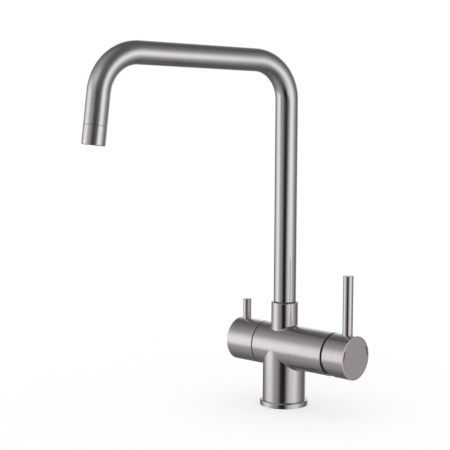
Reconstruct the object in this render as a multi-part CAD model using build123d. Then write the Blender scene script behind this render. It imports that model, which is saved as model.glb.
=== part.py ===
from build123d import *
from math import cos, degrees, pi, radians, sin, sqrt
import os

# Three-way kitchen mixer tap in brushed steel: a T-shaped body on one pedestal, a square-bend
# swivel spout, a mixer lever on the right end and a filtered-water lever on the left end.
# Frame: origin on the deck, on the pedestal's axis. +Z is up, +X points along the barrel to the
# mixer lever, and -Y is the front, over the sink. Lengths are in millimetres, angles in degrees.

# Fits
running_fit = 0.05
joined_gap = 0.03
slip_gap = 0.1
swing_gap = 0.3
disc_film = 0.02

# Body: barrel, pedestal and spout collar
barrel_r = 21.15
barrel_wall = 3.15
barrel_z = 58.8
barrel_right = 60.25
left_overhang = 3.25
pedestal_step = 0.1
pedestal_wall = 3.05
seam_round = 1.5
collar_wall = 3.15
collar_rise = 23.05
collar_round = 2.0
edge_break = 0.35
rim_round = 0.9

# Base ring and gasket
base_flange = 2.6
base_height = 5.2
base_round = 1.2
base_lip = 2.5
base_lip_width = 3.9
gasket_width = 3.0
gasket_depth = 1.8

# Water inlets and the fixing stud, in the block inside the pedestal
block_height = 14.0
block_gasket = 1.5
hose_thread_r = 4.5
stud_thread_r = 3.4
inlet_rim = 2.95
inlet_angle = 60.0
waterway_r = 3.2

# Spout
tube_r = 11.0
tube_wall = 1.2
tube_end_round = 0.4
arm_z = 337.0
arm_length = 201.0
arm_rise = 3.43
bend_r = 39.0
leg_length = 84.8
spout_swing = 15.6
foot_step = 0.15
foot_wall = 3.45
foot_brazed = 14.4
socket_depth = 23.0
socket_plenum = 2.0
slide_ring_height = 0.4
slide_ring_width = 0.65
groove_depth = 1.65
seal_height = 2.2
seal_corner = 0.3
lock_groove = 3.2
lock_groove_depth = 0.9
lock_screw_r = 1.95
lock_point_r = 1.2

# Filtered-water tube inside the spout
inner_tube_r = 3.2
inner_tube_wall = 1.0
tube_seal_wall = 1.0
tube_seal_height = 3.5
riser_land = 0.5
feed_r = 1.8
feed_sump = 0.8

# Aerator
aerator_height = 18.2
joint_edge = 0.4
aerator_wall = 2.4
aerator_lip = 1.2
aerator_lip_width = 0.6
insert_height = 9.8
insert_floor = 2.8
insert_wall = 1.0
jet_r = 0.55
jet_insets = (1.3, 2.9)
jet_spacing = 2.0
washer_height = 1.8
washer_width = 2.5
spigot_height = 8.0
bush_height = 10.0
bush_wall = 1.15
spigot_wall = 1.3

# Mixer control: handle, lever and the cartridge behind it
mixer_gap = 2.0
mixer_length = 24.85
lever_inset = 14.95
lever_r = 4.9
lever_rise = 57.25
lever_round = 0.5
lever_sink = 2.15
lever_stud_r = 2.95
lever_stud = 8.0
lever_tilt = 18.0
handle_rim = 1.28
crown_width = 1.2
crown_drop = 0.3
relief_start = 3.0
relief_depth = 7.5
boss_r = 7.5
boss_length = 9.8
stem_width = 8.0
stem_height = 9.0
stem_grip = 15.0
set_screw_r = 2.45
set_screw_length = 8.0
set_screw_inset = 4.0
set_screw_key = 2.5
lock_screw_key = 2.0
hex_depth = 1.4
mark_inset = 2.6
mark_width = 1.6
mark_depth = 0.5
mark_middle = 15.2
mark_sweep = 28.5

pivot_setback = 4.45
dome_skirt = 3.35
dome_skirt_wall = 2.0
dome_web = 4.6
dome_seal = 1.8
nut_height = 5.0
nut_wall = 2.7
nut_slots = 6
nut_slot = 4.0
nut_slot_reach = 1.4
case_clearance = 0.6
case_wall = 2.4
case_top_wall = 2.5
case_neck = 7.4
case_neck_wall = 2.6
swivel_r = 10.3
swivel_flange = 1.6
swivel_nose = 1.0
pivot_pin_r = 2.0
pin_inset = 0.4
ball_r = 2.4
ball_neck_r = 1.7
ball_lift = 0.3
ball_play = 0.1
stem_heel = 4.0
carrier_height = 4.4
carrier_rim = 1.2
carrier_lip = 1.2
moving_height = 4.0
fixed_height = 4.0
cartridge_base_height = 4.6
port_r = 3.0
port_seal_wall = 1.4
port_seal_proud = 0.6
inlet_drop = 2.0
outlet_lift = 8.0
pocket_depth = 2.0
pocket_bar = 3.4
pocket_edge = 0.8
pocket_stem = 2.4
pocket_land = 0.6
peg_r = 1.5
peg_height = 2.0
peg_edge = 2.25
peg_angle = 35.0

# Filter control: handle, lever and the quarter-turn valve behind it
filter_gap = 0.8
filter_length = 32.1
filter_lever_inset = 23.4
filter_lever_r = 4.0
filter_lever_rise = 19.95
filter_stud_r = 2.45
filter_round = 0.7
filter_cavity_wall = 3.6
filter_end_wall = 15.2
glide_height = 0.6
glide_wall = 3.2
glide_inset = 0.95
valve_r = 9.95
valve_wall = 1.75
valve_depth = 10.3
valve_hex = 24.0
valve_hex_height = 4.5
valve_neck_r = 8.5
valve_neck = 11.2
valve_seal = 1.6
valve_seal_wall = 2.0
gallery_depth = 4.2
gallery_width = 2.8
seat_height = 2.0
seat_wall = 3.0
filter_disc_height = 2.5
spindle_r = 5.9
spindle_flange = 3.0
spindle_square = 6.4
spindle_grip = 8.0
tang_width = 3.4
tang_height = 1.2
clip_height = 0.9
clip_width = 1.6
clip_depth = 0.9
clip_gap = 5.0
spindle_seal_r = 4.6

# Levels and stations worked out from the sizes above
pedestal_r = barrel_r - pedestal_step
barrel_left = pedestal_r + left_overhang
tube_bore_r = tube_r - tube_wall
foot_r = tube_bore_r + foot_step
foot_bore_r = foot_r - foot_wall
collar_bore_r = foot_r + running_fit
collar_r = collar_bore_r + collar_wall
collar_top = barrel_z + barrel_r + collar_rise
socket_floor = collar_top - socket_depth
tube_start = collar_top + slide_ring_height

block_r = pedestal_r - pedestal_wall - joined_gap
block_top = base_lip + block_height
inlet_circle = block_r - hose_thread_r - inlet_rim
inlet_points = {
    "hot": (inlet_circle * cos(radians(inlet_angle)), -inlet_circle * sin(radians(inlet_angle))),
    "cold": (inlet_circle * cos(radians(inlet_angle)), inlet_circle * sin(radians(inlet_angle))),
    "filtered": (-inlet_circle, 0.0),
}

# Mixer cartridge, stacked from the barrel's open end inwards
pivot_x = barrel_right - pivot_setback
mixer_bore_r = barrel_r - barrel_wall
nut_front = barrel_right - dome_skirt
case_shoulder = nut_front - nut_height
cavity_top = case_shoulder - case_top_wall
flange_top = cavity_top - slip_gap
flange_foot = flange_top - swivel_flange
carrier_top = flange_foot - swing_gap
carrier_foot = carrier_top - carrier_height
moving_foot = carrier_foot - moving_height
fixed_top = moving_foot - disc_film
fixed_foot = fixed_top - fixed_height
cartridge_foot = fixed_foot - cartridge_base_height
chamber_floor = cartridge_foot - port_seal_proud
case_r = mixer_bore_r - case_clearance
cavity_r = case_r - case_wall
neck_bore_r = swivel_r + running_fit
neck_r = neck_bore_r + case_neck_wall
neck_end = case_shoulder + case_neck
nose_end = neck_end + swivel_nose
nut_bore_r = mixer_bore_r - joined_gap - nut_wall
dome_bore_r = mixer_bore_r - joined_gap - dome_web

# The ball end of the lever's stem drives the moving disc up and down
ball_x = carrier_foot + ball_lift + ball_r
ball_arm = pivot_x - ball_x
disc_travel = ball_arm * sin(radians(lever_tilt))
disc_z = barrel_z - disc_travel / 2
moving_r = cavity_r - disc_travel / 2 - swing_gap - carrier_rim - running_fit
port_y = inlet_points["cold"][1]
inlet_z = barrel_z - inlet_drop
outlet_z = barrel_z + outlet_lift

# The handle's hollow and the dome that it tilts on are two spheres round the lever's pivot
handle_start = barrel_right + mixer_gap
handle_end = handle_start + mixer_length
lever_x = handle_start + lever_inset
lever_seat = barrel_z + barrel_r - lever_sink
rim_r = barrel_r - handle_rim
mark_r = barrel_r - mark_inset
hollow_r = sqrt(rim_r**2 + (handle_start - pivot_x) ** 2)
dome_r = hollow_r - swing_gap
tilt_sin = sin(radians(lever_tilt))
tilt_cos = cos(radians(lever_tilt))
dome_end = pivot_x + (handle_start - pivot_x) * tilt_cos + rim_r * tilt_sin + swing_gap
dome_seal_end = barrel_right + dome_seal
dome_seal_r = sqrt(dome_r**2 - (dome_seal_end - pivot_x) ** 2)
boss_start = pivot_x + hollow_r - boss_length
stem_end = boss_start + stem_grip
slot_half = stem_height / 2 + (nose_end - pivot_x) * tilt_sin + swing_gap
set_screw_x = stem_end - set_screw_inset

# Quarter-turn filter valve, stacked from the floor of its chamber outwards, as distances to the left
valve_floor = barrel_left - valve_depth
seat_top = valve_floor + seat_height
filter_moving = seat_top + filter_disc_height + disc_film
spindle_foot = filter_moving + filter_disc_height + slip_gap
spindle_step = spindle_foot + spindle_flange
valve_flange = barrel_left + valve_hex_height
valve_top = valve_flange + valve_neck
clip_top = valve_top + clip_height
valve_bore_r = valve_r - valve_wall
gallery_r = valve_r + joined_gap + gallery_depth
filter_start = barrel_left + filter_gap
filter_end = filter_start + filter_length
filter_lever_x = filter_start + filter_lever_inset
filter_hollow_end = filter_end - filter_end_wall
filter_hollow_r = barrel_r - filter_cavity_wall
spindle_end = filter_hollow_end + spindle_grip
filter_screw_x = filter_hollow_end + spindle_grip / 2

# Spout line: riser, arm and outlet leg, swung to the filter side of straight ahead
swing_x = -sin(radians(spout_swing))
swing_y = -cos(radians(spout_swing))
arm_run = cos(radians(arm_rise))
arm_dir = Vector(swing_x * arm_run, swing_y * arm_run, sin(radians(arm_rise)))
leg_run = sin(radians(2 * arm_rise))
leg_dir = Vector(swing_x * leg_run, swing_y * leg_run, -cos(radians(2 * arm_rise)))
riser_corner = Vector(0, 0, arm_z)
leg_corner = riser_corner + arm_dir * arm_length
outlet = leg_corner + leg_dir * leg_length
outlet_plane = Plane(origin=outlet, x_dir=(-swing_y, swing_x, 0), z_dir=-leg_dir)
feed_z = barrel_z + gallery_r - gallery_depth / 2
inner_tube_start = feed_z + feed_r + slip_gap
insert_top = aerator_lip + insert_height
washer_top = insert_top + washer_height
insert_r = tube_r - aerator_wall - slip_gap

BOTTOM = (Align.CENTER, Align.CENTER, Align.MIN)


def upright(low, high, radius, bore=0.0, x=0.0, y=0.0):
    """A vertical cylinder, or a ring where bore is given."""
    shape = Cylinder(radius, high - low, align=BOTTOM)
    if bore:
        shape -= Cylinder(bore, high - low, align=BOTTOM)
    return Pos(x, y, low) * shape


def lengthwise(start, end, radius, bore=0.0, y=0.0, z=barrel_z):
    """A cylinder or ring along the barrel, between two stations on X."""
    low = min(start, end)
    plane = Plane(origin=(low, y, z), x_dir=(0, 1, 0), z_dir=(1, 0, 0))
    shape = Cylinder(radius, abs(end - start), align=BOTTOM)
    if bore:
        shape -= Cylinder(bore, abs(end - start), align=BOTTOM)
    return plane * shape


def bar(x_range, y_range, z_range):
    """A box between three pairs of limits."""
    size = [high - low for low, high in (x_range, y_range, z_range)]
    middle = [(high + low) / 2 for low, high in (x_range, y_range, z_range)]
    return Pos(*middle) * Box(*size)


def turned(*lines):
    """A solid turned about the barrel's axis; the outline is in stations on X and radii."""
    outline = Plane(origin=(0, 0, barrel_z), x_dir=(1, 0, 0), z_dir=(0, -1, 0))
    return revolve(outline * make_face(list(lines)), Axis((0, 0, barrel_z), (1, 0, 0)))


def pivot_arc(radius, start, end):
    """An arc round the lever's pivot from one station to another, in stations and radii."""
    stations = (start, (start + end) / 2, end)
    return ThreePointArc(*[(x, sqrt(radius**2 - (x - pivot_x) ** 2)) for x in stations])


def rims(shape, axis, station, radius):
    """The round edges of a given radius at one station along an axis."""
    rounds = shape.edges().filter_by(GeomType.CIRCLE)
    level = rounds.filter_by_position(axis, station - 0.01, station + 0.01)
    return [edge for edge in level if abs(edge.radius - radius) < 0.01]


def squeezed_ring(low, high, outer, inner):
    """A rubber ring as it lies in its groove, with rounded corners."""
    ring = upright(low, high, outer, inner)
    corner = seal_corner * min(high - low, outer - inner)
    return fillet(ring.edges().filter_by(GeomType.CIRCLE), corner)


def grub_screw(radius, length, key, point_r=0.0, point=0.0):
    """A headless screw standing on Z=0, its point up and its hex socket open below."""
    screw = upright(0, length - point, radius)
    if point:
        screw += upright(length - point, length, point_r)
    return screw - extrude(RegularPolygon(key / 2, 6, major_radius=False), hex_depth)


def make_tap_body():
    """Body casting: barrel, pedestal and collar in one, bored for the valves and drilled for water."""
    barrel = lengthwise(-barrel_left, barrel_right, barrel_r)
    pedestal = upright(base_lip, barrel_z, pedestal_r)
    collar = upright(barrel_z, collar_top, collar_r)
    shell = barrel + pedestal + collar
    curved = [e for e in shell.edges() if e.geom_type not in (GeomType.CIRCLE, GeomType.LINE)]
    shell = fillet([e for e in curved if e.center().Z > barrel_z], collar_round)
    curved = [e for e in shell.edges() if e.geom_type not in (GeomType.CIRCLE, GeomType.LINE)]
    shell = fillet([e for e in curved if e.center().Z < barrel_z], seam_round)
    shell = fillet(rims(shell, Axis.Z, collar_top, collar_r), rim_round)
    ends = rims(shell, Axis.X, -barrel_left, barrel_r) + rims(shell, Axis.X, barrel_right, barrel_r)
    shell = chamfer(ends, edge_break)

    # Chambers: cartridge on the right, filter valve on the left, spout on top, inlet block below
    shell -= lengthwise(chamber_floor, barrel_right, mixer_bore_r)
    shell -= lengthwise(-barrel_left, -valve_floor, valve_r + joined_gap)
    shell -= lengthwise(-barrel_left, -barrel_left + valve_seal, valve_r + joined_gap + valve_seal_wall)
    gallery = -barrel_left + valve_seal + edge_break
    shell -= lengthwise(gallery, gallery + gallery_width, gallery_r)
    shell -= upright(socket_floor, collar_top, collar_bore_r)
    shell -= upright(base_lip, block_top + block_gasket, block_r + joined_gap)

    # Hot and cold: up the pedestal, then along the barrel to the cartridge
    for name in ("hot", "cold"):
        x, y = inlet_points[name]
        shell -= upright(block_top, inlet_z, waterway_r, x=x, y=y)
        shell -= lengthwise(x, chamber_floor, waterway_r, y=y, z=inlet_z)
    # Mixed water: back from the cartridge and up beside the filter tube's seat
    riser_inner = inner_tube_r + tube_seal_wall + riser_land
    riser_outer = collar_bore_r - slip_gap
    riser_r = (riser_outer - riser_inner) / 2
    riser_x = (riser_outer + riser_inner) / 2
    shell -= lengthwise(riser_x, chamber_floor, waterway_r, z=outlet_z)
    shell -= upright(outlet_z, socket_floor, riser_r, x=riser_x)
    # Filtered water: up to the valve's seat, out by the gallery and across to the inner tube
    x, y = inlet_points["filtered"]
    shell -= upright(block_top, barrel_z, waterway_r, x=x, y=y)
    shell -= lengthwise(-valve_floor, x, waterway_r)
    shell -= lengthwise(gallery, 0, feed_r, z=feed_z)
    feed_floor = feed_z - feed_r - feed_sump
    shell -= upright(feed_floor, socket_floor, inner_tube_r + tube_seal_wall + joined_gap)

    # Locating holes for the cartridge's pegs, and the spout's locking screw at the back
    for y, z in peg_points():
        shell -= lengthwise(chamber_floor - peg_height, chamber_floor, peg_r + slip_gap, y=y, z=z)
    shell -= lock_screw_place() * upright(0, collar_r, lock_screw_r + running_fit)
    return shell


def peg_points():
    """The cartridge's two locating pegs, below the ports."""
    reach = case_r - peg_r - peg_edge
    aside, down = reach * sin(radians(peg_angle)), reach * cos(radians(peg_angle))
    return [(-aside, barrel_z - down), (aside, barrel_z - down)]


def lock_screw_z():
    """Height of the spout's locking groove, midway up the socket."""
    return (socket_floor + socket_plenum + collar_top) / 2


def lock_screw_place():
    """The back of the collar, looking in to the spout's axis from the bottom of the groove."""
    start = foot_r - lock_groove_depth + swing_gap
    return Plane(origin=(0, start, lock_screw_z()), x_dir=(1, 0, 0), z_dir=(0, 1, 0))


def make_spout_lock_screw():
    """Grub screw in the back of the collar: its dog point runs in the foot's groove."""
    length = collar_r - edge_break - (foot_r - lock_groove_depth + swing_gap)
    point = lock_groove_depth - swing_gap + running_fit + slip_gap
    screw = grub_screw(lock_screw_r, length, lock_screw_key, lock_point_r, point)
    return lock_screw_place() * Pos(0, 0, length) * Rot(180, 0, 0) * screw


def make_base_ring():
    """Turned ring round the foot of the pedestal, which stands on its inner lip."""
    outer = pedestal_r + base_flange
    ring = upright(0, base_height, outer, pedestal_r + joined_gap)
    ring = fillet(rims(ring, Axis.Z, base_height, outer), base_round)
    ring += upright(0, base_lip, pedestal_r + slip_gap, pedestal_r - base_lip_width)
    ring -= upright(0, gasket_depth, gasket_middle() + gasket_width / 2, gasket_middle() - gasket_width / 2)
    return ring


def gasket_middle():
    """Middle radius of the gasket's groove, midway across the base ring."""
    return pedestal_r + (base_flange - base_lip_width) / 2


def make_base_gasket():
    """Rubber ring that fills the groove under the base ring, level with the deck."""
    half = gasket_width / 2 - joined_gap
    return upright(0, gasket_depth, gasket_middle() + half, gasket_middle() - half)


def make_inlet_block():
    """Brass block in the pedestal, tapped for three hose tails and for the fixing stud."""
    block = upright(base_lip, block_top, block_r)
    for x, y in inlet_points.values():
        block -= upright(base_lip, block_top, hose_thread_r, x=x, y=y)
    return block - upright(base_lip, block_top, stud_thread_r)


def make_inlet_gasket():
    """Flat rubber gasket that closes the stud's thread and joins the hoses to the body's waterways."""
    gasket = upright(block_top, block_top + block_gasket, block_r)
    for x, y in inlet_points.values():
        gasket -= upright(block_top, block_top + block_gasket, waterway_r, x=x, y=y)
    return gasket


def spout_path(start_z, end_trim):
    """Centre line of the spout from a height on the riser to a distance short of the outlet."""
    end = outlet - leg_dir * end_trim
    return FilletPolyline((0, 0, start_z), riser_corner, leg_corner, end, radius=bend_r)


def bent_pipe(path, radius, wall):
    """A pipe of round section along a path."""
    section = Plane(origin=path @ 0, z_dir=path % 0)
    outside = sweep(section * Circle(radius), path=path)
    return outside - sweep(section * Circle(radius - wall), path=path)


def make_spout_tube():
    """Bent steel tube: riser, arm and outlet leg."""
    path = spout_path(tube_start, aerator_height)
    tube = bent_pipe(path, tube_r, tube_wall)
    tube = fillet(rims(tube, Axis.Z, tube_start, tube_r), tube_end_round)
    rounds = [edge for edge in tube.edges().filter_by(GeomType.CIRCLE) if abs(edge.radius - tube_r) < 0.01]
    return chamfer([edge for edge in rounds if (edge.arc_center - path @ 1).length < 0.01], joint_edge)


def make_spout_foot():
    """Brass foot brazed into the tube, turning in the collar on two seals."""
    bottom = socket_floor + socket_plenum
    foot = upright(bottom, collar_top, foot_r)
    foot += upright(collar_top, tube_start + foot_brazed, tube_bore_r - joined_gap)
    foot = chamfer(rims(foot, Axis.Z, bottom, foot_r), edge_break)
    for low, high in spout_seal_spans():
        foot -= upright(low, high, foot_r + slip_gap, foot_r - groove_depth)
    low, high = lock_screw_z() - lock_groove / 2, lock_screw_z() + lock_groove / 2
    foot -= upright(low, high, foot_r + slip_gap, foot_r - lock_groove_depth)
    return foot - upright(bottom, tube_start + foot_brazed, foot_bore_r)


def spout_seal_spans():
    """Bottom and top of the two seal grooves, either side of the locking groove."""
    step = (lock_screw_z() - socket_floor - socket_plenum + lock_groove / 2) / 2
    middles = [lock_screw_z() - step, lock_screw_z() + step]
    return [(middle - seal_height / 2, middle + seal_height / 2) for middle in middles]


def make_spout_seals():
    """Two rubber rings in the foot's grooves."""
    inner, outer = foot_r - groove_depth + joined_gap, foot_r + running_fit / 2
    spans = spout_seal_spans()
    rings = [squeezed_ring(low + joined_gap, high - joined_gap, outer, inner) for low, high in spans]
    return Compound(children=rings)


def make_slide_ring():
    """Black slide ring that the tube turns on, set back as a dark line above the collar."""
    inner = max(collar_bore_r, tube_bore_r) + slip_gap
    return upright(collar_top, tube_start, inner + slide_ring_width, inner)


def make_inner_tube():
    """Filtered-water tube inside the spout, from its seal in the body to the aerator."""
    trim = aerator_lip + insert_floor + slip_gap
    return bent_pipe(spout_path(inner_tube_start, trim), inner_tube_r, inner_tube_wall)


def make_inner_tube_seal():
    """Rubber sleeve in the body that the filtered-water tube turns in."""
    low = socket_floor - tube_seal_height
    outer = inner_tube_r + tube_seal_wall
    return upright(low, socket_floor, outer, inner_tube_r + running_fit)


def make_outlet_bush():
    """Tapped brass bush brazed into the end of the outlet leg, for the aerator."""
    outer = tube_bore_r - joined_gap
    return outlet_plane * upright(aerator_height, aerator_height + bush_height, outer, outer - bush_wall)


def make_aerator_housing():
    """Steel aerator housing, in line with the tube, screwed into the bush by its spigot."""
    spigot_r = tube_bore_r - 2 * joined_gap - bush_wall
    shell = upright(0, aerator_height, tube_r)
    shell = fillet(rims(shell, Axis.Z, 0, tube_r), rim_round)
    shell = chamfer(rims(shell, Axis.Z, aerator_height, tube_r), joint_edge)
    shell += upright(aerator_height, aerator_height + spigot_height, spigot_r)
    shell -= upright(0, aerator_lip, insert_r - aerator_lip_width)
    shell -= upright(aerator_lip, washer_top, insert_r + slip_gap)
    shell -= upright(washer_top, aerator_height + spigot_height, spigot_r - spigot_wall)
    return outlet_plane * shell


def make_aerator_insert():
    """Plastic jet plate with a centre socket for the filtered-water tube."""
    floor_top = aerator_lip + insert_floor
    socket_r = inner_tube_r + running_fit
    insert = upright(aerator_lip, insert_top, insert_r)
    insert -= upright(floor_top, insert_top, insert_r - insert_wall, socket_r + insert_wall)
    insert -= upright(floor_top, insert_top, socket_r)
    insert -= upright(aerator_lip, floor_top, inner_tube_r - inner_tube_wall)
    jets = []
    for inset in jet_insets:
        ring_r = insert_r - insert_wall - inset
        count = int(2 * pi * ring_r / jet_spacing)
        for place in PolarLocations(ring_r, count):
            jets.append(place * upright(aerator_lip, floor_top, jet_r))
    return outlet_plane * (insert - jets)


def make_aerator_washer():
    """Rubber washer between the jet plate and the housing's shoulder."""
    return outlet_plane * upright(insert_top, washer_top, insert_r, insert_r - washer_width)


def make_cartridge_base():
    """Plastic foot of the mixer cartridge, with three ports and two locating pegs."""
    base = lengthwise(cartridge_foot, fixed_foot, case_r)
    for y, z in port_points():
        base -= lengthwise(cartridge_foot, fixed_foot, port_r + port_seal_wall + joined_gap, y=y, z=z)
    for y, z in peg_points():
        base += lengthwise(chamber_floor - peg_height + slip_gap, cartridge_foot, peg_r, y=y, z=z)
    return base


def port_points():
    """Cartridge ports: hot, cold and mixed."""
    return [(-port_y, inlet_z), (port_y, inlet_z), (0.0, outlet_z)]


def make_cartridge_seals():
    """Three rubber sleeves through the cartridge's foot, from the body to the fixed disc."""
    outer = port_r + port_seal_wall
    sleeves = [lengthwise(chamber_floor, fixed_foot, outer, port_r, y=y, z=z) for y, z in port_points()]
    return Compound(children=sleeves)


def make_fixed_disc():
    """Ceramic disc that stays still, with the three ports through it."""
    disc = lengthwise(fixed_foot, fixed_top, cavity_r - slip_gap)
    for y, z in port_points():
        disc -= lengthwise(fixed_foot, fixed_top, port_r, y=y, z=z)
    return disc


def make_cartridge_case():
    """Plastic case of the cartridge, with a neck that the swivel turns in."""
    case = lengthwise(fixed_foot, case_shoulder, case_r)
    case += lengthwise(case_shoulder, neck_end, neck_r)
    case -= lengthwise(fixed_foot, cavity_top, cavity_r)
    return case - lengthwise(cavity_top, neck_end, neck_bore_r)


def make_cartridge_nut():
    """Brass ring nut that clamps the cartridge, with slots for its key."""
    nut = lengthwise(case_shoulder, nut_front, mixer_bore_r - joined_gap, nut_bore_r)
    slot_floor = nut_front - nut_height / 2
    slot = bar((slot_floor, nut_front), (-nut_slot / 2, nut_slot / 2), (0, nut_bore_r + nut_slot_reach))
    for index in range(nut_slots):
        nut -= Pos(0, 0, barrel_z) * Rot(360 * index / nut_slots, 0, 0) * slot
    return nut


def make_mixer_dome():
    """Turned dome pressed into the barrel's end, which the mixer handle tilts over."""
    skirt_r = mixer_bore_r - joined_gap
    crown = pivot_arc(dome_r, dome_seal_end, dome_end)
    inside = Polyline(
        crown @ 1,
        (dome_end, dome_bore_r),
        (barrel_right, dome_bore_r),
        (barrel_right, skirt_r - dome_skirt_wall),
        (nut_front, skirt_r - dome_skirt_wall),
        (nut_front, skirt_r),
        (dome_seal_end, skirt_r),
        crown @ 0,
    )
    return turned(crown, inside)


def make_dome_seal():
    """Black rubber ring between the barrel's end and the dome, the dark line beside the handle."""
    return lengthwise(barrel_right, dome_seal_end, dome_seal_r, mixer_bore_r)


def make_swivel_sleeve():
    """Plastic swivel in the cartridge's neck: it turns with the lever and carries its pivot."""
    sleeve = lengthwise(flange_foot, flange_top, cavity_r - slip_gap)
    sleeve += lengthwise(flange_top, nose_end, swivel_r)
    side = stem_width / 2 + 2 * slip_gap
    sleeve -= bar((flange_foot, nose_end), (-side, side), (barrel_z - slot_half, barrel_z + slot_half))
    return sleeve - pivot_line(swivel_r + swing_gap, pivot_pin_r + joined_gap)


def pivot_line(half, radius):
    """A cylinder on the lever's tilt axis, across the barrel."""
    plane = Plane(origin=(pivot_x, -half, barrel_z), x_dir=(1, 0, 0), z_dir=(0, 1, 0))
    return plane * Cylinder(radius, 2 * half, align=BOTTOM)


def make_pivot_pin():
    """Steel pin through the swivel that the lever's stem tilts on."""
    return pivot_line(swivel_r - pin_inset, pivot_pin_r)


def make_lever_stem():
    """Lever stem: a ball in the disc's carrier, an eye on the pin and a square shank in the handle."""
    side, half = stem_width / 2, stem_height / 2
    heel = pivot_x - stem_heel
    stem = bar((heel, stem_end), (-side, side), (barrel_z - half, barrel_z + half))
    stem = chamfer(stem.faces().sort_by(Axis.X)[-1].edges(), edge_break)
    stem += lengthwise(ball_x, heel, ball_neck_r)
    stem += Pos(ball_x, 0, barrel_z) * Sphere(ball_r)
    return stem - pivot_line(side, pivot_pin_r + running_fit)


def make_disc_carrier():
    """Plastic carrier gripping the moving disc, with a socket for the stem's ball."""
    outer = moving_r + running_fit + carrier_rim
    carrier = lengthwise(carrier_foot - carrier_lip, carrier_top, outer, z=disc_z)
    carrier -= lengthwise(carrier_foot - carrier_lip, carrier_foot, moving_r + running_fit, z=disc_z)
    return carrier - lengthwise(carrier_foot, carrier_top, ball_r + ball_play)


def make_moving_disc():
    """Ceramic disc that slides and turns on the fixed one, with a pocket joining the ports."""
    disc = lengthwise(moving_foot, carrier_foot, moving_r, z=disc_z)
    top = inlet_z - port_r - pocket_land
    low = top - pocket_bar
    half = sqrt((moving_r - pocket_edge) ** 2 - (disc_z - low) ** 2)
    depth = (moving_foot, moving_foot + pocket_depth)
    disc -= bar(depth, (-half, half), (low, top))
    return disc - bar(depth, (-pocket_stem, pocket_stem), (low, outlet_z + port_r / 2))


def make_mixer_handle():
    """Mixer handle turned from bar, flush with the barrel and cut back below so that it can tilt."""
    hollow = pivot_arc(hollow_r, pivot_x + sqrt(hollow_r**2 - boss_r**2), handle_start)
    outside = Polyline(
        hollow @ 1,
        (handle_start, barrel_r - edge_break),
        (handle_start + edge_break, barrel_r),
        (handle_end - crown_drop, barrel_r),
    )
    crown = TangentArc((handle_end, barrel_r - crown_width), outside @ 1, tangent=(0, 1))
    inside = Polyline(crown @ 0, (handle_end, 0), (boss_start, 0), (boss_start, boss_r), hollow @ 0)
    handle = turned(hollow, outside, crown, inside)
    side, half = stem_width / 2 + running_fit, stem_height / 2 + running_fit
    handle -= bar((boss_start, stem_end + slip_gap), (-side, side), (barrel_z - half, barrel_z + half))

    # The back is cut back at a slant from just below the axis down
    slope = relief_depth / (barrel_r - relief_start)
    run = 2 * barrel_r
    start_z = barrel_z - relief_start
    corners = [
        (handle_start - mixer_gap, start_z),
        (handle_start, start_z),
        (handle_start + slope * run, start_z - run),
        (handle_start - mixer_gap, start_z - run),
    ]
    wedge = make_face(Plane.XZ * Polyline(*corners, close=True))
    handle -= extrude(wedge, barrel_r, both=True)

    # Seat and thread for the lever, thread for the set screw, and shallow cuts for the two marks
    crest = barrel_z + barrel_r
    stud_foot = lever_seat - lever_stud - swing_gap
    handle -= upright(lever_seat, crest, lever_r + running_fit, x=lever_x)
    handle -= upright(stud_foot, crest, lever_stud_r + running_fit, x=lever_x)
    handle -= upright(barrel_z - barrel_r, barrel_z, set_screw_r + running_fit, x=set_screw_x)
    for middle in (mark_middle, 180 - mark_middle):
        handle -= mark(middle, handle_end - mark_depth, handle_end, mark_width / 2)
    return handle


def mark(middle, start, end, half_width):
    """A short arc on the handle's end face; the angle is measured up from the back."""
    face_plane = Plane(origin=(start, 0, barrel_z), x_dir=(0, 1, 0), z_dir=(1, 0, 0))
    half_sweep = mark_sweep / 2 - degrees((mark_width / 2 - half_width) / mark_r)
    outer = CenterArc((0, 0), mark_r + half_width, middle - half_sweep, 2 * half_sweep)
    inner = CenterArc((0, 0), mark_r - half_width, middle - half_sweep, 2 * half_sweep)
    ends = [Line(outer @ 0, inner @ 0), Line(outer @ 1, inner @ 1)]
    return extrude(face_plane * make_face([outer, inner] + ends), end - start)


def make_cold_mark():
    """Blue enamel in the cut near the back edge of the mixer handle's face."""
    half_width = mark_width / 2 - joined_gap
    return mark(mark_middle, handle_end - mark_depth, handle_end - joined_gap, half_width)


def make_hot_mark():
    """Red enamel in the cut near the front edge of the mixer handle's face."""
    half_width = mark_width / 2 - joined_gap
    return mark(180 - mark_middle, handle_end - mark_depth, handle_end - joined_gap, half_width)


def lever(x, radius, rise, stud_r):
    """A steel lever rod with a rounded top and a threaded stud below."""
    top = barrel_z + barrel_r + rise
    rod = upright(lever_seat, top, radius, x=x)
    rod = fillet(rims(rod, Axis.Z, top, radius), lever_round)
    return rod + upright(lever_seat - lever_stud, lever_seat, stud_r, x=x)


def make_lever_rod():
    """Mixer lever, screwed into the top of the mixer handle."""
    return lever(lever_x, lever_r, lever_rise, lever_stud_r)


def make_lever_set_screw():
    """Grub screw under the mixer handle that holds it on the stem."""
    screw = grub_screw(set_screw_r, set_screw_length, set_screw_key)
    return Pos(set_screw_x, 0, barrel_z - stem_height / 2 - set_screw_length) * screw


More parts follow.
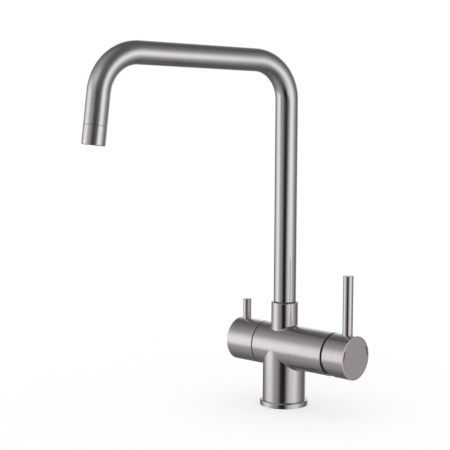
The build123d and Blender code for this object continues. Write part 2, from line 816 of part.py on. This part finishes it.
def make_valve_body():
    """Brass body of the filter valve: a sleeve in the barrel, a hexagon and a neck for the spindle."""
    sleeve_foot = seat_top + slip_gap
    body = lengthwise(-valve_flange, -sleeve_foot, valve_r)
    hexagon = extrude(RegularPolygon(valve_hex / 2, 6, major_radius=False), valve_hex_height)
    body += Plane(origin=(-valve_flange, 0, barrel_z), x_dir=(0, 1, 0), z_dir=(1, 0, 0)) * hexagon
    body += lengthwise(-valve_top, -valve_flange, valve_neck_r)
    body -= lengthwise(-spindle_step - slip_gap, -sleeve_foot, valve_bore_r)
    body -= lengthwise(-valve_top, -spindle_foot, spindle_r + running_fit)
    window = (-spindle_foot - gallery_width / 2, -spindle_foot)
    return body - bar(window, (-gallery_width, gallery_width), (barrel_z - valve_r, barrel_z + valve_r))


def make_valve_seal():
    """Rubber ring under the valve's hexagon, in the end of the barrel."""
    inner = valve_r + joined_gap
    start = -barrel_left
    return lengthwise(start, start + valve_seal, inner + valve_seal_wall - joined_gap, inner)


def make_filter_seat():
    """Rubber seat between the chamber's floor and the fixed disc."""
    outer = valve_bore_r - slip_gap
    return lengthwise(-seat_top, -valve_floor, outer, outer - seat_wall)


def filter_port(start, end):
    """Two opposite ports of a filter disc, above and below the axis."""
    middle = valve_bore_r / 2
    radius = valve_bore_r / 4
    places = (barrel_z - middle, barrel_z + middle)
    return [lengthwise(start, end, radius, z=z) for z in places]


def make_filter_fixed_disc():
    """Ceramic disc of the filter valve that stays still."""
    ends = (-seat_top - filter_disc_height, -seat_top)
    return lengthwise(*ends, valve_bore_r - slip_gap) - filter_port(*ends)


def make_filter_moving_disc():
    """Ceramic disc turned by the spindle, closed a quarter turn from the fixed disc's ports."""
    ends = (-filter_moving - filter_disc_height, -filter_moving)
    disc = lengthwise(*ends, valve_bore_r - slip_gap)
    quarter = Pos(0, 0, barrel_z) * Rot(90, 0, 0) * Pos(0, 0, -barrel_z)
    for port in filter_port(*ends):
        disc -= quarter * port
    half = tang_width / 2 + slip_gap
    tang = (ends[0], ends[0] + tang_height)
    return disc - bar(tang, (-half, half), (barrel_z - valve_r, barrel_z + valve_r))


def make_filter_spindle():
    """Brass spindle: a tang in the moving disc, a flange, a sealed journal and a square for the handle."""
    flange_r = valve_bore_r - running_fit
    spindle = lengthwise(-spindle_step, -spindle_foot, flange_r)
    spindle += lengthwise(-filter_hollow_end, -spindle_step, spindle_r)
    half = tang_width / 2
    reach = sqrt((flange_r - slip_gap) ** 2 - half**2)
    tang_end = -spindle_foot + tang_height
    spindle += bar((-spindle_foot, tang_end), (-half, half), (barrel_z - reach, barrel_z + reach))
    # Two channels in the flange's face lead water from the disc's ports to the valve body's windows
    channel = (-spindle_foot - gallery_width / 2, -spindle_foot)
    port = valve_bore_r / 4
    for across in ((-valve_bore_r, -port), (port, valve_bore_r)):
        spindle -= bar(channel, across, (barrel_z - port, barrel_z + port))
    half = spindle_square / 2
    square = bar((-spindle_end, -filter_hollow_end), (-half, half), (barrel_z - half, barrel_z + half))
    spindle += square & lengthwise(-spindle_end, -filter_hollow_end, spindle_seal_r)
    spindle -= lengthwise(-clip_top, -valve_top, spindle_r + slip_gap, spindle_r - clip_depth)
    low, high = spindle_seal_span()
    return spindle - lengthwise(-high, -low, spindle_r + slip_gap, spindle_seal_r)


def spindle_seal_span():
    """Inner and outer ends of the seal's groove on the spindle, in the middle of the valve's neck."""
    middle = (valve_flange + valve_top) / 2
    return middle - seal_height / 2, middle + seal_height / 2


def make_spindle_seal():
    """Rubber ring round the spindle."""
    low, high = spindle_seal_span()
    inner, outer = spindle_seal_r + joined_gap, spindle_r + running_fit / 2
    ring = squeezed_ring(low + joined_gap, high - joined_gap, outer, inner)
    return Pos(0, 0, barrel_z) * Rot(0, -90, 0) * ring


def make_spindle_clip():
    """Spring clip that keeps the spindle in the valve's neck."""
    inner = spindle_r - clip_depth + joined_gap
    clip = lengthwise(-clip_top + joined_gap, -valve_top - joined_gap, inner + clip_width, inner)
    half = clip_gap / 2
    mouth = bar((-clip_top, -valve_top), (-half, half), (barrel_z, barrel_z + 2 * spindle_r))
    return clip - mouth


def make_glide_ring():
    """Black glide ring between the barrel and the filter handle, set back as a dark line."""
    outer = barrel_r - glide_inset
    return lengthwise(-barrel_left - glide_height, -barrel_left, outer, outer - glide_wall)


def make_filter_handle():
    """Filter handle turned from bar, hollow over the valve's neck and solid at its end."""
    handle = lengthwise(-filter_end, -filter_start, barrel_r)
    handle = fillet(rims(handle, Axis.X, -filter_end, barrel_r), filter_round)
    handle = chamfer(rims(handle, Axis.X, -filter_start, barrel_r), edge_break)
    handle -= lengthwise(-filter_hollow_end, -filter_start, filter_hollow_r)
    half = spindle_square / 2 + running_fit
    socket = bar(
        (-spindle_end - slip_gap, -filter_hollow_end),
        (-half, half),
        (barrel_z - half, barrel_z + half),
    )
    socket &= lengthwise(-spindle_end - slip_gap, -filter_hollow_end, spindle_seal_r + running_fit)
    handle -= socket
    crest = barrel_z + barrel_r
    stud_foot = lever_seat - lever_stud - swing_gap
    handle -= upright(lever_seat, crest, filter_lever_r + running_fit, x=-filter_lever_x)
    handle -= upright(stud_foot, crest, filter_stud_r + running_fit, x=-filter_lever_x)
    return handle - upright(barrel_z - barrel_r, barrel_z, lock_screw_r + running_fit, x=-filter_screw_x)


def make_filter_rod():
    """Filter lever, screwed into the top of the filter handle."""
    return lever(-filter_lever_x, filter_lever_r, filter_lever_rise, filter_stud_r)


def make_filter_set_screw():
    """Grub screw under the filter handle that holds it on the spindle."""
    screw = grub_screw(lock_screw_r, set_screw_length, lock_screw_key)
    return Pos(-filter_screw_x, 0, barrel_z - spindle_square / 2 - set_screw_length) * screw


pieces = {
    "tap_body": make_tap_body,
    "base_ring": make_base_ring,
    "base_gasket": make_base_gasket,
    "inlet_block": make_inlet_block,
    "inlet_gasket": make_inlet_gasket,
    "spout_tube": make_spout_tube,
    "spout_foot": make_spout_foot,
    "spout_seals": make_spout_seals,
    "slide_ring": make_slide_ring,
    "spout_lock_screw": make_spout_lock_screw,
    "inner_tube": make_inner_tube,
    "inner_tube_seal": make_inner_tube_seal,
    "outlet_bush": make_outlet_bush,
    "aerator_housing": make_aerator_housing,
    "aerator_insert": make_aerator_insert,
    "aerator_washer": make_aerator_washer,
    "cartridge_base": make_cartridge_base,
    "cartridge_seals": make_cartridge_seals,
    "fixed_disc": make_fixed_disc,
    "cartridge_case": make_cartridge_case,
    "cartridge_nut": make_cartridge_nut,
    "mixer_dome": make_mixer_dome,
    "dome_seal": make_dome_seal,
    "swivel_sleeve": make_swivel_sleeve,
    "pivot_pin": make_pivot_pin,
    "lever_stem": make_lever_stem,
    "disc_carrier": make_disc_carrier,
    "moving_disc": make_moving_disc,
    "mixer_handle": make_mixer_handle,
    "cold_mark": make_cold_mark,
    "hot_mark": make_hot_mark,
    "lever_rod": make_lever_rod,
    "lever_set_screw": make_lever_set_screw,
    "valve_body": make_valve_body,
    "valve_seal": make_valve_seal,
    "filter_seat": make_filter_seat,
    "filter_fixed_disc": make_filter_fixed_disc,
    "filter_moving_disc": make_filter_moving_disc,
    "filter_spindle": make_filter_spindle,
    "spindle_seal": make_spindle_seal,
    "spindle_clip": make_spindle_clip,
    "glide_ring": make_glide_ring,
    "filter_handle": make_filter_handle,
    "filter_rod": make_filter_rod,
    "filter_set_screw": make_filter_set_screw,
}

os.makedirs("parts", exist_ok=True)
for name, make in pieces.items():
    export_step(make(), f"parts/{name}.step")

print(f"pivot x {pivot_x:.3f}, disc travel {disc_travel:.3f} for {lever_tilt} degrees of tilt")
print(f"outlet at {outlet.X:.2f}, {outlet.Y:.2f}, {outlet.Z:.2f}")
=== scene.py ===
import math

import bmesh
import bpy
from mathutils import Matrix, Vector


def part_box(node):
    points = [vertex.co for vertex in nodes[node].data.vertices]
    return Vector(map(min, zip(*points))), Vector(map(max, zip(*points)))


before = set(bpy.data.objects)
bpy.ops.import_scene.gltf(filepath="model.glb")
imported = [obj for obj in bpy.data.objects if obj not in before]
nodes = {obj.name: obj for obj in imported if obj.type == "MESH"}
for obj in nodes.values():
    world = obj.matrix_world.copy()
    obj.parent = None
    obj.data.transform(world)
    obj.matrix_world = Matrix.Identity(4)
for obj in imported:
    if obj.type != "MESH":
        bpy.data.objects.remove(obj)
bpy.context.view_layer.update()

# Body: barrel, pedestal and spout collar, one casting in stainless steel, turned outside.
# Each cylinder is brushed round its own axis, and the seams between them are polished over.
# It stands in the base ring and is drawn down on the deck by a stud.


class Pattern:
    """One socket in a finish, so that a pattern over a surface is written as a sum."""

    def __init__(self, socket):
        self.socket = socket

    def node(self, kind, settings, links, output=0):
        tree = self.socket.id_data
        made = tree.nodes.new(kind)
        for name, value in settings.items():
            setattr(made, name, value)
        for name, value in links.items():
            if isinstance(value, Pattern):
                tree.links.new(value.socket, made.inputs[name])
            else:
                made.inputs[name].default_value = value
        return Pattern(made.outputs[output])

    def maths(self, operation, *values):
        return self.node("ShaderNodeMath", {"operation": operation}, dict(enumerate(values)))

    def __add__(self, other):
        return self.maths("ADD", self, other)

    def __sub__(self, other):
        return self.maths("SUBTRACT", self, other)

    def __rsub__(self, other):
        return self.maths("SUBTRACT", other, self)

    def __mul__(self, other):
        return self.maths("MULTIPLY", self, other)

    __radd__ = __add__
    __rmul__ = __mul__

    def step(self, low, high):
        """0 below one value and 1 above the other, with a soft change between."""
        links = {"Value": self, "From Min": low, "From Max": high}
        return self.node("ShaderNodeMapRange", {"interpolation_type": "SMOOTHSTEP"}, links)

    def blend(self, low, high):
        """One colour where the pattern is 0 and another where it is 1."""
        links = {0: self}
        for place, colour in ((6, low), (7, high)):
            links[place] = colour if isinstance(colour, Pattern) else (*colour, 1.0)
        return self.node("ShaderNodeMix", {"data_type": "RGBA"}, links, 2)


def new_finish(name):
    """A fresh material, its shader, and the place on the piece in metres as x, y and z."""
    finish = bpy.data.materials.new(name)
    finish.use_nodes = True
    shader = finish.node_tree.nodes["Principled BSDF"]
    place = Pattern(shader.inputs["Base Color"]).node("ShaderNodeTexCoord", {}, {}, "Object")
    split = place.node("ShaderNodeSeparateXYZ", {}, {0: place}).socket.node
    return finish, shader, [Pattern(socket) for socket in split.outputs]


def feed(shader, **patterns):
    """Joins patterns to the shader's own sockets, or sets plain numbers on them."""
    for name, value in patterns.items():
        socket = shader.inputs[name.replace("_", " ")]
        if isinstance(value, Pattern):
            shader.id_data.links.new(value.socket, socket)
        else:
            socket.default_value = value


def grain(along, across, up, pitch, length, detail):
    """Brush marks: close together along the piece's axis and long round it, from 0 to 1."""
    links = {"X": along * (1 / pitch), "Y": across * (1 / length), "Z": up * (1 / length)}
    place = along.node("ShaderNodeCombineXYZ", {}, links)
    return place.node("ShaderNodeTexNoise", {}, {"Vector": place, "Scale": 1.0, "Detail": detail})


def brush(shader, along, across, up, roughness, dark, pale):
    """Brushed stainless steel: fine marks, a few stronger ones, and a cloudy change of gloss."""
    fine = grain(along, across, up, pitch=0.0003, length=0.012, detail=2.0)
    strong = grain(along, across, up, pitch=0.0009, length=0.03, detail=3.0)
    cloud = grain(along, across, up, pitch=0.02, length=0.02, detail=2.0)
    fine_share = 0.7
    marks = fine * fine_share + strong * (1 - fine_share)
    mark_depth = 0.00002
    bump = marks.node("ShaderNodeBump", {}, {"Height": marks, "Strength": 0.3, "Distance": mark_depth})
    colour = marks.step(low=0.3, high=0.7).blend(dark, pale)
    fine_change = 0.07
    cloud_change = 0.05
    smoothest = roughness - (fine_change + cloud_change) / 2
    gloss = smoothest + fine * fine_change + cloud * cloud_change
    feed(shader, Base_Color=colour, Roughness=gloss, Normal=bump, Metallic=1.0)
    return colour, gloss


def wear(finish, *names):
    """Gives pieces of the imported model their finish."""
    for name in names:
        for slot in nodes[name].material_slots:
            slot.material = finish


def from_axis(first, second):
    """Distance from a piece's own axis."""
    square = first * first + second * second
    return square.maths("SQRT", square)


# The filter handle is as thick as the barrel, so its box gives the barrel's height and radius.
handle_low, handle_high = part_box("filter_handle")
barrel_height = (handle_low.z + handle_high.z) / 2
barrel_radius = (handle_high.z - handle_low.z) / 2
seam = 0.0012
body_dark = (0.59, 0.567, 0.560)
body_pale = (0.65, 0.625, 0.617)
finish, shader, (x, y, z) = new_finish("body steel")
over = z - barrel_height
on_barrel = 1 - from_axis(y, over).step(barrel_radius, barrel_radius + seam)
along = on_barrel * (x + from_axis(y, over)) + (1 - on_barrel) * (z + from_axis(x, y))
up = on_barrel * over + (1 - on_barrel) * x
brush(shader, along, y, up, roughness=0.16, dark=body_dark, pale=body_pale)
wear(finish, "tap_body")

# Base ring: a turned ring of stainless steel, brushed round.
# It carries the pedestal and covers the edge of the hole in the deck.
finish, shader, (x, y, z) = new_finish("base ring steel")
brush(shader, z + from_axis(x, y), x, y, roughness=0.17, dark=body_dark, pale=body_pale)
wear(finish, "base_ring")

# Spout: one stainless tube, brushed round its length and bent twice.
# The marks follow the tube's line through the riser, both bends, the arm and the leg.
# Its foot turns in the collar.
spout_swing = math.radians(15.6)
arm_rise = math.radians(3.43)
bend = 0.039
turn = math.pi / 2 - arm_rise
tangent = bend * math.tan(turn / 2)
arm_height = 0.337
arm_length = 0.201
arm_way = Vector((math.cos(arm_rise), math.sin(arm_rise)))
arm_normal = Vector((-math.sin(arm_rise), math.cos(arm_rise)))
leg_way = Vector((math.sin(2 * arm_rise), -math.cos(2 * arm_rise)))
riser_top = arm_height - tangent
arm_start = Vector((0, arm_height)) + arm_way * tangent
arm_run = arm_length - 2 * tangent
second_centre = arm_start + arm_way * arm_run - arm_normal * bend
leg_start = Vector((0, arm_height)) + arm_way * arm_length + leg_way * tangent
tube_dark = (0.585, 0.573, 0.570)
tube_pale = (0.645, 0.632, 0.629)


def spout_plane(x, y):
    """How far a place lies from the riser's axis towards the outlet, and to the side of that line."""
    out = x * -math.sin(spout_swing) + y * -math.cos(spout_swing)
    side = x * math.cos(spout_swing) + y * -math.sin(spout_swing)
    return out, side


def off(out, up, point, way):
    """How far a place lies from a point, in one direction in the spout's own plane."""
    return (out - point.x) * way.x + (up - point.y) * way.y


finish, shader, (x, y, z) = new_finish("spout steel")
out, side = spout_plane(x, y)
rise = z - riser_top
riser_line = rise.maths("MINIMUM", rise, 0.0) * out.maths("LESS_THAN", out, bend)
first_turn = rise.maths("ARCTAN2", rise.maths("MAXIMUM", rise, 0.0), bend - out)
arm_line = off(out, z, arm_start, arm_way)
past_bend = off(out, z, second_centre, arm_way)
above_bend = off(out, z, second_centre, arm_normal)
second_turn = past_bend.maths("ARCTAN2", past_bend.maths("MAXIMUM", past_bend, 0.0), above_bend)
leg_line = off(out, z, leg_start, leg_way)
on_arm = arm_line.maths("GREATER_THAN", arm_line, 0.0)
tube_line = (
    riser_line
    + first_turn.maths("MINIMUM", first_turn, turn) * bend
    + arm_line.maths("MAXIMUM", arm_line.maths("MINIMUM", arm_line, arm_run), 0.0)
    + second_turn.maths("MINIMUM", second_turn, turn) * on_arm * bend
    + leg_line.maths("MAXIMUM", leg_line, 0.0) * on_arm
)
brush(shader, tube_line, side, out + z, roughness=0.16, dark=tube_dark, pale=tube_pale)
wear(finish, "spout_tube")

# Aerator housing: turned steel, a little brighter than the tube.
# It screws on the threaded bush in the tube's end, and holds the jet plate.
aerator_dark = (0.60, 0.587, 0.577)
aerator_pale = (0.69, 0.674, 0.662)
finish, shader, (x, y, z) = new_finish("aerator steel")
out, side = spout_plane(x, y)
leg_line = off(out, z, leg_start, leg_way)
brush(shader, leg_line, side, out, roughness=0.13, dark=aerator_dark, pale=aerator_pale)
wear(finish, "aerator_housing")

# Handles: two handles turned from stainless bar, flush with the barrel and brushed round it.
# The mixer handle's flat end is ground finer and duller; its lighter, warmer colour is painted light that
# makes the face read brighter.
# A set screw from below holds each on its stem or spindle.
handle_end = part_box("mixer_handle")[1].x
face_edge = 0.0004
face_painted_light_tone = (0.755, 0.70, 0.707)
face_dullness = 0.24
finish, shader, (x, y, z) = new_finish("handle steel")
over = z - barrel_height
colour, gloss = brush(
    shader, x + from_axis(y, over), y, over, roughness=0.17, dark=body_dark, pale=body_pale
)
on_face = x.step(handle_end - face_edge, handle_end - face_edge / 4)
# The end face gets a lighter, warmer base colour than the steel round it: painted light on the face.
feed(shader, Base_Color=on_face.blend(colour, face_painted_light_tone), Roughness=gloss + on_face * face_dullness)
wear(finish, "mixer_handle", "filter_handle")

# Levers: a long and a short rod of stainless steel with flat, slightly rounded tops.
# Each is turned, brushed round and screwed into the top of its handle.
for name in ("lever_rod", "filter_rod"):
    low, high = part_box(name)
    finish, shader, (x, y, z) = new_finish(name.replace("_", " ") + " steel")
    middle = x - (low.x + high.x) / 2
    brush(shader, z + from_axis(middle, y), middle, y, roughness=0.15, dark=body_dark, pale=body_pale)
    wear(finish, name)

# Hot and cold marks: two short curved cuts beside the rim of the mixer handle's end face.
# They are filled with dark red and blue-black enamel, which lies just below the steel.


def mottled(name, size, detail, dark, pale, roughness, change, metallic=0.0):
    """A finish whose colour and gloss change a little in soft spots of one size."""
    finish, shader, (x, y, z) = new_finish(name)
    spots = grain(x, y, z, pitch=size, length=size, detail=detail)
    gloss = roughness + spots * change
    feed(shader, Base_Color=spots.blend(dark, pale), Roughness=gloss, Metallic=metallic)
    return finish


for name, dark, pale in (
    ("hot_mark", (0.13, 0.012, 0.02), (0.19, 0.02, 0.03)),
    ("cold_mark", (0.008, 0.010, 0.016), (0.014, 0.018, 0.03)),
):
    enamel = name.replace("_", " ") + " enamel"
    finish = mottled(enamel, size=0.0008, detail=2.0, dark=dark, pale=pale, roughness=0.22, change=0.12)
    wear(finish, name)

# Dome: a polished steel cap screwed over the cartridge in the barrel's end.
# The mixer handle tilts over it, and it shows in the gap below the handle.
dome_dark = (0.42, 0.405, 0.4)
dome_pale = (0.5, 0.483, 0.476)
finish, shader, (x, y, z) = new_finish("dome steel")
over = z - barrel_height
brush(shader, x + from_axis(y, over), y, over, roughness=0.16, dark=dome_dark, pale=dome_pale)
wear(finish, "mixer_dome")

# Screws, pivot pin, lever stem and clip: plain stainless steel inside the tap.
# They are left as turned, so they are darker and duller than the outside.
finish = mottled(
    "screw steel", size=0.0012, detail=3.0,
    dark=(0.24, 0.24, 0.245), pale=(0.36, 0.355, 0.35), roughness=0.3, change=0.16, metallic=1.0,
)
wear(finish, "spout_lock_screw", "lever_set_screw", "filter_set_screw")
wear(finish, "spindle_clip", "pivot_pin", "lever_stem")

# Brass inside: inlet block, spout foot, outlet bush, ring nut, filter valve and its spindle.
# All are turned and threaded, and a little tarnished where water stands.
brass_dark = (0.58, 0.42, 0.19)
brass_pale = (0.78, 0.61, 0.32)
swirl_size = 0.0016
tarnish_size = 0.009
finish, shader, (x, y, z) = new_finish("turned brass")
swirl = grain(x, y, z, pitch=swirl_size, length=swirl_size, detail=3.0)
tarnish = grain(x, y, z, pitch=tarnish_size, length=tarnish_size, detail=2.0)
stain = swirl * 0.5 + tarnish * 0.5
feed(shader, Base_Color=stain.blend(brass_dark, brass_pale), Roughness=0.24 + tarnish * 0.18, Metallic=1.0)
wear(finish, "inlet_block", "spout_foot", "outlet_bush", "cartridge_nut", "valve_body", "filter_spindle")

# Rubber: gaskets, sealing rings, sleeves and the black ring in the gap beside the mixer handle.
# All are moulded, with a faint grey bloom, and are squeezed between the pieces that they seal.
finish = mottled(
    "black rubber", size=0.002, detail=3.0,
    dark=(0.011, 0.011, 0.011), pale=(0.03, 0.03, 0.03), roughness=0.62, change=0.2,
)
wear(finish, "base_gasket", "inlet_gasket", "spout_seals", "inner_tube_seal", "cartridge_seals")
wear(finish, "dome_seal", "valve_seal", "filter_seat", "spindle_seal", "aerator_washer")

# Slide rings: black low-friction plastic, moulded.
# The spout turns on one in its collar, and the filter handle against the other on the barrel.
finish = mottled(
    "black glide plastic", size=0.0007, detail=2.0,
    dark=(0.012, 0.012, 0.012), pale=(0.028, 0.028, 0.028), roughness=0.4, change=0.15,
)
wear(finish, "slide_ring", "glide_ring")

# Cartridge: base, case, swivel sleeve and disc carrier of the mixing valve.
# They are moulded in white plastic and clip together, and the ring nut presses them in the barrel.
finish = mottled(
    "cartridge plastic", size=0.0009, detail=2.0,
    dark=(0.7, 0.7, 0.68), pale=(0.8, 0.8, 0.78), roughness=0.38, change=0.16,
)
wear(finish, "cartridge_base", "cartridge_case", "swivel_sleeve", "disc_carrier")

# Jet plate and filtered-water tube: the grey moulded plate in the aerator,
# and the milky drawn tube that runs to it through the spout.
finish = mottled(
    "jet plastic", size=0.0009, detail=2.0,
    dark=(0.42, 0.43, 0.44), pale=(0.52, 0.53, 0.54), roughness=0.36, change=0.14,
)
wear(finish, "aerator_insert")
finish = mottled(
    "tube plastic", size=0.003, detail=2.0,
    dark=(0.74, 0.77, 0.77), pale=(0.82, 0.84, 0.84), roughness=0.3, change=0.1,
)
wear(finish, "inner_tube")

# Ceramic discs: hard cream discs of the two valves, fired and lapped flat.
# In each pair one stands still in its seat and the other slides or turns on it.
finish = mottled(
    "disc ceramic", size=0.0004, detail=2.0,
    dark=(0.8, 0.79, 0.75), pale=(0.87, 0.86, 0.83), roughness=0.14, change=0.08,
)
wear(finish, "fixed_disc", "moving_disc", "filter_fixed_disc", "filter_moving_disc")

# Floor: a plain white sheet under the tap.
# It glows a little to the lens alone, so that the tap's soft shadow is only faint.
white = (1.0, 1.0, 1.0, 1.0)
floor_radius = 8.0
glow_share = 0.6


def set_up(name, shape):
    """Puts a finished shape in the scene."""
    data = bpy.data.meshes.new(name)
    shape.to_mesh(data)
    shape.free()
    piece = bpy.data.objects.new(name, data)
    bpy.context.scene.collection.objects.link(piece)
    return piece


floor_shape = bmesh.new()
bmesh.ops.create_circle(floor_shape, cap_ends=True, segments=96, radius=floor_radius)
floor = set_up("floor", floor_shape)
finish, shader, (x, y, z) = new_finish("white floor")
feed(shader, Base_Color=white, Roughness=0.9, Specular_IOR_Level=0.0)
to_lens = x.node("ShaderNodeLightPath", {}, {}, "Is Camera Ray")
glow = x.node("ShaderNodeEmission", {}, {"Color": white, "Strength": 1.0})
paper = Pattern(shader.outputs[0])
sheet = x.node("ShaderNodeMixShader", {}, {0: to_lens * glow_share, 1: paper, 2: glow})
finish.node_tree.links.new(sheet.socket, finish.node_tree.nodes["Material Output"].inputs["Surface"])
floor.data.materials.append(finish)
floor.visible_glossy = False

# Light tent: white cloth round the tap, with a soft panel on each side, one behind, one high in front
# and a dark slot for the lens. Only the reflections in the metal show it.
# Its places are in degrees: the bearing from straight ahead to the right, the height from the deck up.
tent_radius = 3.0
tent_shape = bmesh.new()
bmesh.ops.create_icosphere(tent_shape, subdivisions=5, radius=tent_radius)
tent = set_up("light_tent", tent_shape)
finish, shader, (x, y, z) = new_finish("tent cloth")
in_degrees = 180 / math.pi
height = z.maths("ARCTAN2", z, from_axis(x, y)) * in_degrees
bearing = x.maths("ARCTAN2", x, 0 - y) * in_degrees
around = bearing.maths("WRAP", bearing, 360.0, 0.0)


def swell(value, middle, half):
    """A soft hump, half as high at the given distance from its middle."""
    away = (value - middle) * (1 / half)
    return away.maths("POWER", 0.5, away * away)


def between(value, low, high, rise, fall):
    """1 from one value to another, with a soft edge at each."""
    return value.step(low - rise, low + rise) * (1 - value.step(high - fall, high + fall))


left_panel = (
    between(bearing, low=-78, high=-29, rise=28, fall=17)
    * between(height, low=-17.5, high=22, rise=9.5, fall=16)
)
panel_lean = height.step(low=-6, high=10) * 20
right_panel = (
    (bearing - panel_lean).step(low=40, high=74)
    * (1 - bearing.step(low=94, high=127))
    * between(height, low=-21, high=25, rise=26, fall=26)
)
left_haze = swell(bearing, middle=-35, half=39) * swell(height, middle=5, half=57)
right_haze = swell(bearing, middle=117, half=24.5) * swell(height, middle=0, half=37)
back_panel = between(around, low=184, high=233, rise=14, fall=14) * swell(height, middle=7, half=20)
front_panel = swell(bearing, middle=-4, half=20) * swell(height, middle=34, half=13)
slot = between(bearing, low=13.5, high=45.5, rise=9.5, fall=2.5) * swell(height, middle=-9, half=20)
bare_cloth = 0.135
haze_light = 0.42
left_light = 0.72
right_light = 0.92
back_light = 0.9
front_light = 0.36
slot_dark = 0.95
warmth = 0.005
haze = left_haze * haze_light + right_haze * haze_light
side_panels = left_panel * left_light + right_panel * right_light
end_panels = back_panel * back_light + front_panel * front_light
cloth = (bare_cloth + haze + side_panels + end_panels) * (1 - slot * slot_dark)
warm_cloth = x.node("ShaderNodeCombineColor", {}, {0: cloth + warmth, 1: cloth, 2: cloth})
feed(shader, Base_Color=(0.0, 0.0, 0.0, 1.0), Specular_IOR_Level=0.0)
feed(shader, Emission_Color=warm_cloth, Emission_Strength=1.0)
finish.cycles.emission_sampling = "NONE"
tent.data.materials.append(finish)
for kind in ("camera", "diffuse", "transmission", "volume_scatter", "shadow"):
    setattr(tent, "visible_" + kind, False)

# Room: even white light from all round, which is also the white background.
# Its strength is 1, at which a colour renders about as it is written.
scene = bpy.context.scene
scene.world = bpy.data.worlds.new("white room")
scene.world.use_nodes = True
scene.world.node_tree.nodes["Background"].inputs["Color"].default_value = white
scene.view_settings.view_transform = "Standard"

# Camera: a long lens just above the spout, to the right of straight ahead.
# It looks a little down and past the riser, and is rolled by a trace.
stand = math.radians(39.08)
distance = 1.4425
lens_height = 0.3696
heading = stand + math.radians(2.35)
pitch = math.radians(-7.56)
roll = math.radians(0.27)
lens_length = 119.13
film_width = 36.0
ahead = Vector((-math.sin(heading) * math.cos(pitch), math.cos(heading) * math.cos(pitch), math.sin(pitch)))
right = Vector((math.cos(heading), math.sin(heading), 0))
above = right.cross(ahead)
tilted_right = right * math.cos(roll) + above * math.sin(roll)
tilted_above = above * math.cos(roll) - right * math.sin(roll)
turned = Matrix((tilted_right, tilted_above, -ahead)).transposed().to_4x4()
place = Vector((distance * math.sin(stand), -distance * math.cos(stand), lens_height))
camera = bpy.data.objects.new("camera", bpy.data.cameras.new("camera"))
scene.collection.objects.link(camera)
camera.data.lens = lens_length
camera.data.sensor_width = film_width
camera.matrix_world = Matrix.Translation(place) @ turned
scene.camera = camera
